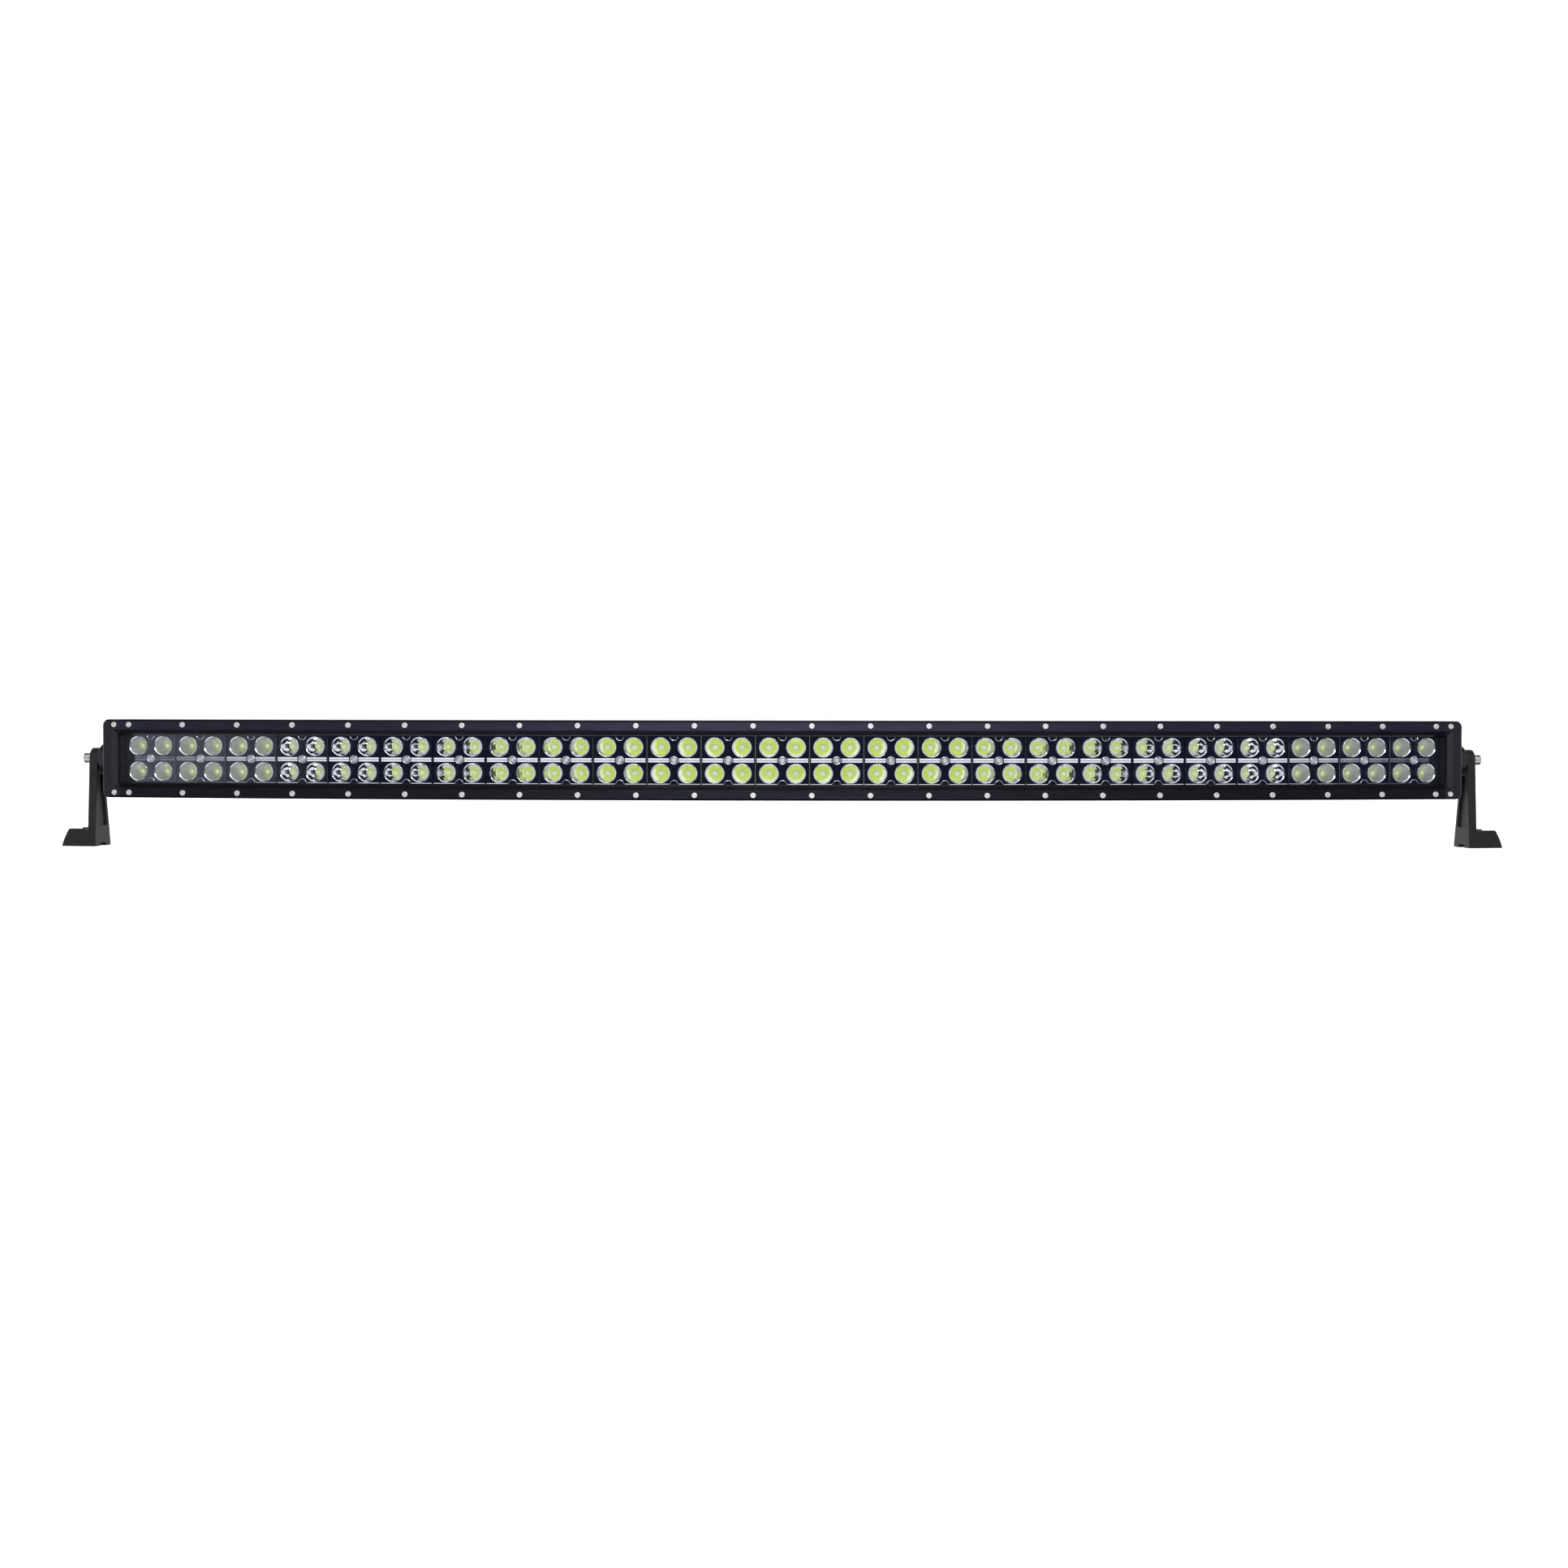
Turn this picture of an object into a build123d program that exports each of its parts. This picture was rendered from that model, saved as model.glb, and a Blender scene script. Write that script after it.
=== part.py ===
from build123d import *
import math
import os

# Curved two-row LED light bar on two swinging end brackets.
# Millimetres, +Z up, the bar faces -Y, +X is to the right of the bar seen from its front.
# Construction origin: middle of the rails' front face. "depth" is measured back from that face.

# Sweep of the bar
FRONT_RADIUS = 3010.0      # radius of the rails' front face, ends swept back
CUP_PITCH = 25.4           # spacing of the light cups along a row
MODULES = 25               # reflector modules, each two cups wide and two rows high
MODULE_ARC = 2 * CUP_PITCH / (FRONT_RADIUS - 11.0)
END_ARC = 0.2122           # half angle of the extruded lengths
END_DEG = math.degrees(END_ARC)

# Cross-section of the bar
HALF_HEIGHT = 37.4
RAIL_INNER = 27.9          # lower edge of the top rail's flat face
RAIL_LIP = 24.0            # edge of the rail that overlaps the lens
RAIL_BACK = 9.0
EDGE_CHAMFER = 1.8
LENS_FRONT = 6.0
LENS_BACK = 9.0
LENS_HALF = 29.6
SEAT_DEPTH = 10.5          # land that carries the lens gasket
SEAT_HALF = 30.0
WINDOW_HALF = 23.4
FLOOR_FRONT = 24.0
FLOOR_BACK = 29.0
CHAMBER_HALF = 16.0
CHAMBER_BACK = 56.0
CHAMBER_WALL = 3.0
PAD = 55.8                 # flat milled through the back fins for the gland and the vent
FIN = 2.2
UPPER_FINS = [(36.3, 46.0), (31.2, 53.0), (26.1, 58.5), (21.0, 62.5)]
BACK_FINS = [(14.9, 66.0), (9.0, 67.0), (3.0, 67.0)]
REAR_PORT = (49.0, 17.9)   # screw port beside the driver chamber: depth, height
GLAND_ARC = -0.03          # angles along the bar
VENT_ARC = 0.03

# Reflector modules and lamps
MODULE_HALF_WIDTH = 25.1
MODULE_HALF_HEIGHT = 23.0
MODULE_FRONT = 10.9
BOARD_FRONT = 22.4
CUP_MOUTH = 8.95
CUP_THROAT = 3.4
CUP_ROW = 12.3
CUP_COLUMN = CUP_PITCH / 2
FLOOD_MODULES = 3          # at each end of the bar
PACKAGE = 3.45
PACKAGE_HEIGHT = 0.7
DOME = 1.45
BOARDS = 5

# End caps, measured outward from the cut end of the extrusion
SEAL = 0.8
CAP_OUT = 17.6
CAP_CORNER = 6.0
CAP_WINDOW = 8.1
CAP_LIP = 3.9
CAP_LENS = 6.3
CAP_CHAMBER = 4.4
LENS_OUT = 6.0
CORNER_SCREW = 6.1

# Fasteners
SCREW_HEIGHT = 32.4
RAIL_SCREWS = 24
RAIL_SCREW_ARC = 0.20903
M3_HEAD = 2.75
M3_HEAD_LENGTH = 1.65
SIDE_SCREWS = [(16.5, 30.4), (REAR_PORT[0], REAR_PORT[1])]

# Pivots and brackets
PIVOT_DEPTH = 24.0
PIVOT_HEIGHT = 85.0        # above the bracket's foot
BOSS = 14.0
BOSS_OUT = 28.2
ARM_IN = 30.2
ARM_OUT = 38.5
ARM_TOP = 10.0
ARM_FRONT = -15.0          # bracket depths from the pivot line
ARM_REAR = 18.0
FOOT_REACH = 26.5
FOOT_TOP_REACH = 18.8
FOOT_WALL = 17.0
FOOT_WALL_THICK = 4.6
FOOT_PLATE = 6.0
FOOT_HOLE = 4.5
FOOT_HOLE_REACH = 12.5
SHANK = 3.0
RUNNING = 0.05             # clearance between faces that move past each other

AXIS = Axis((0, FRONT_RADIUS, 0), (0, 0, 1))


def rect(d0, d1, z0, z1):
    """Rectangle in the cross-section, depth by height."""
    return Pos((d0 + d1) / 2, (z0 + z1) / 2) * Rectangle(d1 - d0, z1 - z0)


def swept(section, arc0, arc1):
    """Cross-section swept along the curved bar between two angles."""
    faces = (Plane.YZ * section).faces()
    turn = math.degrees(arc1 - arc0)
    body = Part() + [revolve(face, axis=AXIS, revolution_arc=turn) for face in faces]
    return body.rotate(AXIS, math.degrees(arc0))


def along(shape, arc):
    """Move a shape built at mid-bar to an angle along the bar."""
    return shape.rotate(AXIS, math.degrees(arc))


def block(x0, x1, d0, d1, z0, z1):
    centre = Pos((x0 + x1) / 2, (d0 + d1) / 2, (z0 + z1) / 2)
    return centre * Box(x1 - x0, d1 - d0, z1 - z0)


def rod(radius, d0, d1, x=0.0, z=0.0):
    """Cylinder running front to back."""
    return Pos(x, (d0 + d1) / 2, z) * Rot(90, 0, 0) * Cylinder(radius, d1 - d0)


def axle(radius, x0, x1, d, z):
    """Cylinder running along the bar."""
    return Pos((x0 + x1) / 2, d, z) * Rot(0, 90, 0) * Cylinder(radius, x1 - x0)


def hexagon(radius, d0, d1, x=0.0, z=0.0):
    """Hexagonal prism running front to back."""
    prism = extrude(RegularPolygon(radius, 6), amount=d1 - d0)
    return Pos(x, d1, z) * Rot(90, 0, 0) * prism


def mirrored(shape):
    return mirror(shape, about=Plane.YZ)


def solids_of(shapes):
    return Compound(children=[solid for shape in shapes for solid in shape.solids()])


def button_screw(seat, tip, x, z, radius=1.5, head=M3_HEAD, height=M3_HEAD_LENGTH):
    """Round-headed hex-socket screw driven from the front."""
    top = rod(head, seat - height, seat, x, z)
    top = fillet(top.edges().sort_by(Axis.Y)[0], height * 0.55)
    return top + rod(radius, seat, tip, x, z) - hexagon(radius * 0.75, seat - height, seat - 0.5, x, z)


def both_rows(section_top):
    return section_top + mirror(section_top, about=Plane.XZ)


# ---------------------------------------------------------------- housing
upper = rect(RAIL_BACK, FLOOR_FRONT, SEAT_HALF, HALF_HEIGHT)
upper += rect(SEAT_DEPTH, FLOOR_FRONT, WINDOW_HALF, SEAT_HALF + 1)
upper += rect(FLOOR_FRONT - 1, FLOOR_BACK, 0, HALF_HEIGHT) - rect(20, FLOOR_FRONT, 0, WINDOW_HALF)
upper += rect(FLOOR_BACK - 1, CHAMBER_BACK, CHAMBER_HALF - CHAMBER_WALL, CHAMBER_HALF)
upper += rect(CHAMBER_BACK - CHAMBER_WALL, CHAMBER_BACK, 0, CHAMBER_HALF)
for fin_height, fin_tip in UPPER_FINS:
    root = FLOOR_BACK - 2
    blade = RectangleRounded(fin_tip - root, FIN, FIN * 0.4)
    upper += Pos((root + fin_tip) / 2, fin_height) * blade
for fin_height, fin_tip in BACK_FINS:
    root = CHAMBER_BACK - 2
    blade = RectangleRounded(fin_tip - root, FIN, FIN * 0.4)
    upper += Pos((root + fin_tip) / 2, fin_height) * blade
upper += Pos(*REAR_PORT) * Circle(3.6)
housing = swept(both_rows(upper), -END_ARC, END_ARC)

rail_arcs = [RAIL_SCREW_ARC * (2 * i / (RAIL_SCREWS - 1) - 1) for i in range(RAIL_SCREWS)]
module_arcs = [MODULE_ARC * (i - (MODULES - 1) / 2) for i in range(MODULES)]
drilled = []
for arc in rail_arcs:
    drilled.append(along(rod(1.55, RAIL_BACK - 1, 18, 0, SCREW_HEIGHT), arc))
    drilled.append(along(rod(1.55, RAIL_BACK - 1, 18, 0, -SCREW_HEIGHT), arc))
for arc in module_arcs:
    drilled.append(along(rod(1.3, FLOOR_FRONT - 1, 28), arc))
for depth, height in SIDE_SCREWS:
    for sign in (-1, 1):
        drilled.append(along(axle(2.05, -7, 1, depth, sign * height), END_ARC))
        drilled.append(along(axle(2.05, -1, 7, depth, sign * height), -END_ARC))
drilled.append(along(rod(6.05, CHAMBER_BACK - 5, CHAMBER_BACK + 1), GLAND_ARC))
drilled.append(along(block(-13, 13, PAD, 70, -12.2, 12.2), GLAND_ARC))
drilled.append(along(rod(4.05, CHAMBER_BACK - 5, CHAMBER_BACK + 1), VENT_ARC))
drilled.append(along(block(-9, 9, PAD, 70, -12.2, 12.2), VENT_ARC))
housing = housing - drilled

# ---------------------------------------------------------------- bezel rails
rail_outline = Polyline(
    (0, RAIL_INNER),
    (0, HALF_HEIGHT - EDGE_CHAMFER),
    (EDGE_CHAMFER, HALF_HEIGHT),
    (RAIL_BACK, HALF_HEIGHT),
    (RAIL_BACK, SEAT_HALF),
    (LENS_FRONT, SEAT_HALF),
    (LENS_FRONT, RAIL_LIP),
    (4.2, RAIL_LIP),
    close=True,
)
rail_arc = END_ARC + SEAL / FRONT_RADIUS
top_rail = swept(make_face(rail_outline), -rail_arc, rail_arc)
counterbored = []
for arc in rail_arcs:
    counterbored.append(along(rod(1.6, -1, RAIL_BACK + 1, 0, SCREW_HEIGHT), arc))
    counterbored.append(along(rod(3.2, -1, 0.6, 0, SCREW_HEIGHT), arc))
top_rail = top_rail - counterbored
bottom_rail = mirror(top_rail, about=Plane.XY)
top_rail_screws = solids_of([along(button_screw(0.6, 17, 0, SCREW_HEIGHT), arc) for arc in rail_arcs])
bottom_rail_screws = solids_of([along(button_screw(0.6, 17, 0, -SCREW_HEIGHT), arc) for arc in rail_arcs])

# ---------------------------------------------------------------- lens and its gasket
lens_arc = END_ARC + LENS_OUT / FRONT_RADIUS
lens = swept(rect(LENS_FRONT, LENS_BACK, -LENS_HALF, LENS_HALF), -lens_arc, lens_arc)
gasket_arc = END_ARC + 5.8 / FRONT_RADIUS
opening_arc = END_ARC + 4.6 / FRONT_RADIUS
gasket_opening = swept(rect(LENS_BACK - 1, SEAT_DEPTH + 1, -24.6, 24.6), -opening_arc, opening_arc)
lens_gasket = swept(rect(LENS_BACK, SEAT_DEPTH, -29.2, 29.2), -gasket_arc, gasket_arc) - gasket_opening

# ---------------------------------------------------------------- lamp boards and lamps
boards = []
board_arc = MODULE_ARC * MODULES / BOARDS
for i in range(BOARDS):
    start = board_arc * (i - BOARDS / 2) + 0.2 / FRONT_RADIUS
    stop = start + board_arc - 0.4 / FRONT_RADIUS
    boards.append(swept(rect(BOARD_FRONT, FLOOR_FRONT, -23.2, 23.2), start, stop))
cup_places = [(x, z) for x in (-CUP_COLUMN, CUP_COLUMN) for z in (-CUP_ROW, CUP_ROW)]
cap_of_sphere = Sphere(DOME, arc_size1=0, align=(Align.CENTER, Align.CENTER, Align.MIN))
packages = []
domes = []
module_screws = []
board_holes = []
for arc in module_arcs:
    for x, z in cup_places:
        half = PACKAGE / 2
        body = block(x - half, x + half, BOARD_FRONT - PACKAGE_HEIGHT, BOARD_FRONT, z - half, z + half)
        packages.append(along(body, arc))
        bead = Pos(x, BOARD_FRONT - PACKAGE_HEIGHT, z) * Rot(90, 0, 0) * cap_of_sphere
        domes.append(along(bead, arc))
    fixing = button_screw(11.9, 27.5, 0, 0, radius=1.25, head=2.25, height=1.4)
    module_screws.append(along(fixing, arc))
    board_holes.append(along(rod(1.5, BOARD_FRONT - 1, FLOOR_FRONT + 1), arc))
led_boards = solids_of([board - board_holes for board in boards])
led_packages = solids_of(packages)
led_domes = solids_of(domes)
module_screws = solids_of(module_screws)

# ---------------------------------------------------------------- reflector modules
wide = MODULE_HALF_WIDTH
plate = block(-wide, wide, MODULE_FRONT, BOARD_FRONT, -MODULE_HALF_HEIGHT, MODULE_HALF_HEIGHT)
plate += rod(3.3, MODULE_FRONT - 0.8, MODULE_FRONT + 1)
plate += block(-wide, wide, MODULE_FRONT - 0.5, MODULE_FRONT + 1, -1.6, 1.6)
for sign in (-1, 1):
    tab = rod(4.0, MODULE_FRONT - 0.5, MODULE_FRONT + 1, 0, sign * MODULE_HALF_HEIGHT)
    plate += tab & block(-5, 5, 0, 30, -MODULE_HALF_HEIGHT, MODULE_HALF_HEIGHT)
plate -= rod(2.45, 9, 11.9)
plate -= rod(1.35, 9, 25)


def cup(points):
    """Hollow turned about the lamp's axis, from throat to mouth."""
    front = MODULE_FRONT - 2
    back = BOARD_FRONT + 1
    ends = [(points[-1][0], front), (0, front), (0, back), (points[0][0], back)]
    outline = Polyline(*points, *ends, close=True)
    return revolve(Plane.XY * make_face(outline), axis=Axis.Y, revolution_arc=360)


depth_span = BOARD_FRONT - MODULE_FRONT
focal = (CUP_MOUTH ** 2 - CUP_THROAT ** 2) / (4 * depth_span)
vertex = CUP_THROAT ** 2 / (4 * focal)
steps = [depth_span * i / 6 for i in range(7)]
spot_cup = cup([(math.sqrt(4 * focal * (step + vertex)), BOARD_FRONT - step) for step in steps])
flood_cup = cup([(CUP_THROAT, BOARD_FRONT), (CUP_MOUTH, MODULE_FRONT)])
spot_module = plate - [Pos(x, 0, z) * spot_cup for x, z in cup_places]
flood_module = plate - [Pos(x, 0, z) * flood_cup for x, z in cup_places]

# ---------------------------------------------------------------- right end, mirrored for the left
baffle_edge = CAP_CHAMBER - 0.1
baffle_outline = Polyline(
    (-1.2, 16.0),
    (baffle_edge, MODULE_FRONT),
    (baffle_edge, 24.0),
    (-1.2, 24.0),
    close=True,
)
baffle = extrude(Plane.XY * make_face(baffle_outline), amount=MODULE_HALF_HEIGHT, both=True)

seal = block(0, SEAL, SEAT_DEPTH, 30, -36.9, 36.9)
seal += block(0, SEAL, 29, 57, -CHAMBER_HALF - 6, CHAMBER_HALF + 6)
seal -= block(-1, SEAL + 1, 0, FLOOR_FRONT + 0.2, -WINDOW_HALF, WINDOW_HALF)
seal -= block(-1, SEAL + 1, FLOOR_BACK, 53, -12.8, 12.8)

front_view = Rectangle(CAP_OUT - SEAL, 2 * HALF_HEIGHT)
front_view = fillet(front_view.vertices().group_by(Axis.X)[-1], CAP_CORNER)
front_view = Pos((CAP_OUT + SEAL) / 2, 0) * front_view
cap = extrude(Plane.XZ * front_view, amount=-70)
side_view = Polyline(
    (0, HALF_HEIGHT - EDGE_CHAMFER),
    (EDGE_CHAMFER, HALF_HEIGHT),
    (45, HALF_HEIGHT),
    (58.5, 30.0),
    (66, 19.5),
    (68, 12),
    (68, -12),
    (66, -19.5),
    (58.5, -30.0),
    (45, -HALF_HEIGHT),
    (EDGE_CHAMFER, -HALF_HEIGHT),
    (0, EDGE_CHAMFER - HALF_HEIGHT),
    close=True,
)
cap = cap & extrude(Plane.YZ * make_face(side_view), amount=30)
cap = chamfer(cap.faces().sort_by(Axis.X)[-1].edges(), 1.2)
funnel_mouth = Plane.XZ * (Pos(CAP_WINDOW - 10, 0) * Rectangle(20, 2 * RAIL_INNER))
funnel_end = Plane.XZ.offset(-4.2) * (Pos(CAP_LIP - 10, 0) * Rectangle(20, 2 * RAIL_LIP))
cap -= loft([funnel_mouth.face(), funnel_end.face()])
cap -= block(-9, CAP_LIP, 4, LENS_FRONT + 0.1, -RAIL_LIP, RAIL_LIP)
cap -= block(-9, CAP_LENS, LENS_FRONT, SEAT_DEPTH + 0.05, -29.8, 29.8)
cap -= block(-9, CAP_CHAMBER, SEAT_DEPTH - 1, FLOOR_FRONT + 0.1, -WINDOW_HALF, WINDOW_HALF)
cap -= rod(3.4, -1, 1.5, CORNER_SCREW, SCREW_HEIGHT)
cap -= rod(3.4, -1, 1.5, CORNER_SCREW, -SCREW_HEIGHT)
cap -= rod(1.55, 0, 10, CORNER_SCREW, SCREW_HEIGHT)
cap -= rod(1.55, 0, 10, CORNER_SCREW, -SCREW_HEIGHT)
boss_profile = Polyline(
    (CAP_OUT - 1, 0),
    (CAP_OUT - 1, 16.5),
    (CAP_OUT, 16.5),
    (CAP_OUT + 5, BOSS + 0.6),
    (BOSS_OUT - 1.2, BOSS),
    (BOSS_OUT, BOSS - 1.2),
    (BOSS_OUT, 0),
    close=True,
)
boss = revolve(Plane.XZ * make_face(boss_profile), axis=Axis.X, revolution_arc=360)
cap += Pos(0, PIVOT_DEPTH, 0) * boss
cap -= axle(SHANK + RUNNING, 8, BOSS_OUT + 1, PIVOT_DEPTH, 0)
side_screws = []
for depth, height in SIDE_SCREWS:
    for sign in (-1, 1):
        cap -= axle(2.2, -1, CAP_OUT + 1, depth, sign * height)
        cap -= axle(4.2, 10, CAP_OUT + 1, depth, sign * height)
        seal -= axle(2.2, -1, 2, depth, sign * height)
        head = axle(3.6, 10, 12.4, depth, sign * height)
        head = fillet(head.edges().sort_by(Axis.X)[-1], 0.9)
        shank = axle(2.0, -5.5, 10, depth, sign * height)
        slot_a = block(11.4, 13, depth - 2.2, depth + 2.2, sign * height - 0.5, sign * height + 0.5)
        slot_b = block(11.4, 13, depth - 0.5, depth + 0.5, sign * height - 2.2, sign * height + 2.2)
        side_screws.append(head + shank - slot_a - slot_b)
corner_screws = [button_screw(1.5, 9.5, CORNER_SCREW, sign * SCREW_HEIGHT) for sign in (-1, 1)]

# pivot hardware
washer_in = axle(10, BOSS_OUT, ARM_IN - RUNNING, PIVOT_DEPTH, 0) - axle(3.1, 20, 40, PIVOT_DEPTH, 0)
flat = axle(6.2, ARM_OUT + RUNNING, ARM_OUT + 1.4, PIVOT_DEPTH, 0) - axle(3.1, 30, 50, PIVOT_DEPTH, 0)
spring = axle(5.6, ARM_OUT + 1.4, ARM_OUT + 3.0, PIVOT_DEPTH, 0) - axle(3.1, 30, 50, PIVOT_DEPTH, 0)
split = block(ARM_OUT, ARM_OUT + 4, PIVOT_DEPTH - 7, PIVOT_DEPTH - 2, -0.5, 0.5)
spring -= split
bolt = axle(5.0, ARM_OUT + 3.0, ARM_OUT + 9.0, PIVOT_DEPTH, 0)
bolt = chamfer(bolt.edges().sort_by(Axis.X)[-1], 0.6)
bolt += axle(SHANK, 9.5, ARM_OUT + 3.0, PIVOT_DEPTH, 0)
socket = extrude(Plane.YZ * RegularPolygon(2.9, 6), amount=4)
bolt -= Pos(ARM_OUT + 6.0, PIVOT_DEPTH, 0) * socket

# bracket: arm with recessed inner panel, foot plate between two side walls
FOOT = -PIVOT_HEIGHT
arm_outline = Polyline(
    (PIVOT_DEPTH + ARM_FRONT, FOOT),
    (PIVOT_DEPTH - ARM_TOP, 0),
    (PIVOT_DEPTH + ARM_TOP, 0),
    (PIVOT_DEPTH + ARM_TOP, FOOT + 50),
    (PIVOT_DEPTH + ARM_REAR, FOOT + 4),
    (PIVOT_DEPTH + ARM_REAR, FOOT),
    close=True,
)
arm_section = make_face(arm_outline) + Pos(PIVOT_DEPTH, 0) * Circle(ARM_TOP)
arm = Pos(ARM_IN, 0, 0) * extrude(Plane.YZ * arm_section, amount=ARM_OUT - ARM_IN)
arm = fillet(arm.faces().sort_by(Axis.X)[0].edges(), 0.7)
arm = fillet(arm.faces().sort_by(Axis.X)[-1].edges(), 0.7)
panel_outline = Polyline(
    (PIVOT_DEPTH + ARM_FRONT + 5.6, FOOT + 19.5),
    (PIVOT_DEPTH - 5.6, -16),
    (PIVOT_DEPTH + 5.0, -16),
    (PIVOT_DEPTH + ARM_TOP - 4.4, FOOT + 50),
    (PIVOT_DEPTH + ARM_REAR - 7.2, FOOT + 19.5),
    close=True,
)
panel = fillet(make_face(panel_outline).vertices(), 1.5)
arm -= Pos(ARM_IN - 1, 0, 0) * extrude(Plane.YZ * panel, amount=3.2)
arm -= block(ARM_IN - 1, ARM_OUT + 1, PIVOT_DEPTH - 4, PIVOT_DEPTH + 8, FOOT - 1, FOOT + 3.0)

wall_outline = Polyline(
    (ARM_OUT - 2, FOOT),
    (ARM_OUT - 2, FOOT + FOOT_WALL),
    (ARM_OUT + FOOT_TOP_REACH, FOOT + FOOT_WALL),
)
wall_end = ThreePointArc(
    (ARM_OUT + FOOT_TOP_REACH, FOOT + FOOT_WALL),
    (ARM_OUT + (FOOT_REACH + FOOT_TOP_REACH) / 2 + 0.8, FOOT + FOOT_WALL / 2),
    (ARM_OUT + FOOT_REACH, FOOT),
)
wall_base = Line((ARM_OUT + FOOT_REACH, FOOT), (ARM_OUT - 2, FOOT))
wall = make_face(wall_outline + wall_end + wall_base)
foot_front = PIVOT_DEPTH + ARM_FRONT
foot_rear = PIVOT_DEPTH + ARM_REAR
wall_body = extrude(Plane.XZ * wall, amount=-FOOT_WALL_THICK)
front_wall = Pos(0, foot_front, 0) * wall_body
rear_wall = Pos(0, foot_rear - FOOT_WALL_THICK, 0) * wall_body
full_foot = Pos(0, foot_front, 0) * extrude(Plane.XZ * wall, amount=foot_front - foot_rear)
base_plate = full_foot & block(0, 100, foot_front, foot_rear, FOOT, FOOT + FOOT_PLATE)
foot = fillet((front_wall + rear_wall + base_plate).edges().filter_by(Axis.Y).group_by(Axis.Z)[-1], 1.0)
bracket = arm + foot
bracket -= axle(SHANK + RUNNING, 20, 60, PIVOT_DEPTH, 0)
hole_depth = (foot_front + foot_rear) / 2
bracket -= Pos(ARM_OUT + FOOT_HOLE_REACH, hole_depth, FOOT) * Cylinder(FOOT_HOLE, 40)

# ---------------------------------------------------------------- driver electronics
driver_board = block(-110, 110, 40, 41.6, -12, 12)
for x in (-100, 100):
    for z in (-8, 8):
        driver_board += rod(2.5, 41, 54, x, z) & block(-120, 120, 41, 53, -20, 20)
        driver_board -= rod(1.4, 39, 60, x, z)
components = [block(x - 8, x + 8, 33, 40, -8, 8) for x in (-70, -30, 40)]
components += [Pos(x, 36.0, 0) * Rot(90, 0, 0) * Cylinder(4.0, 8) for x in (0, 14, 66, 78)]
components.append(block(88, 96, 36, 40, -9, 9))
driver_components = solids_of(components)

# ---------------------------------------------------------------- cable gland and breather vent
gland = rod(6.0, 51, PAD) + hexagon(10.4, PAD, 60) + rod(7.5, 60, 67)
gland -= rod(4.0, 40, 80)
nut = rod(9.8, 60.1, 69.5)
nut = fillet(nut.edges().sort_by(Axis.Y)[-1], 2.0)
nut = nut - rod(7.55, 59, 67.1) - rod(4.2, 60, 80)
for i in range(10):
    groove = Rot(0, 36 * i, 0) * block(9.3, 11, 60, 66, -1.0, 1.0)
    nut -= groove
vent = rod(4.0, 52, PAD) + rod(7.0, PAD, 59)
vent = fillet(vent.edges().sort_by(Axis.Y)[-1], 1.0)
vent -= block(-9, 9, 58.2, 60, -0.6, 0.6)

# ---------------------------------------------------------------- every node
nodes = {
    "housing": housing,
    "top_bezel_rail": top_rail,
    "bottom_bezel_rail": bottom_rail,
    "top_bezel_screws": top_rail_screws,
    "bottom_bezel_screws": bottom_rail_screws,
    "lens": lens,
    "lens_gasket": lens_gasket,
    "led_boards": led_boards,
    "led_packages": led_packages,
    "led_domes": led_domes,
    "reflector_screws": module_screws,
    "driver_board": driver_board,
    "driver_components": driver_components,
    "cable_gland_body": along(gland, GLAND_ARC),
    "cable_gland_nut": along(nut, GLAND_ARC),
    "breather_vent": along(vent, VENT_ARC),
}
for i, arc in enumerate(module_arcs):
    if i < FLOOD_MODULES:
        nodes[f"left_flood_reflector_{i + 1}"] = along(flood_module, arc)
    elif i >= MODULES - FLOOD_MODULES:
        nodes[f"right_flood_reflector_{i - MODULES + FLOOD_MODULES + 1}"] = along(flood_module, arc)
    else:
        nodes[f"spot_reflector_{i - FLOOD_MODULES + 1:02d}"] = along(spot_module, arc)
right_end = {
    "end_baffle": baffle,
    "end_cap_seal": seal,
    "end_cap": cap,
    "end_cap_side_screws": solids_of(side_screws),
    "pivot_friction_washer": washer_in,
    "pivot_flat_washer": flat,
    "pivot_spring_washer": spring,
    "pivot_bolt": bolt,
    "bracket": bracket,
}
for name, shape in right_end.items():
    nodes["right_" + name] = along(shape, END_ARC)
    nodes["left_" + name] = mirrored(along(shape, END_ARC))
right_corner = [along(screw, END_ARC) for screw in corner_screws]
nodes["end_cap_corner_screws"] = solids_of(right_corner + [mirrored(screw) for screw in right_corner])

# Stand the feet on z = 0 and centre the whole part on the origin.
boxes = [shape.bounding_box() for shape in nodes.values()]
front_limit = min(box.min.Y for box in boxes)
rear_limit = max(box.max.Y for box in boxes)
shift = Vector(0, -(front_limit + rear_limit) / 2, PIVOT_HEIGHT)
print("shift", tuple(shift), "nodes", len(nodes))

os.makedirs("parts", exist_ok=True)
for name, shape in nodes.items():
    export_step(shape.translate(shift), f"parts/{name}.step")
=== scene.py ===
import math

import bmesh
import bpy
from mathutils import Matrix, Vector


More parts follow.
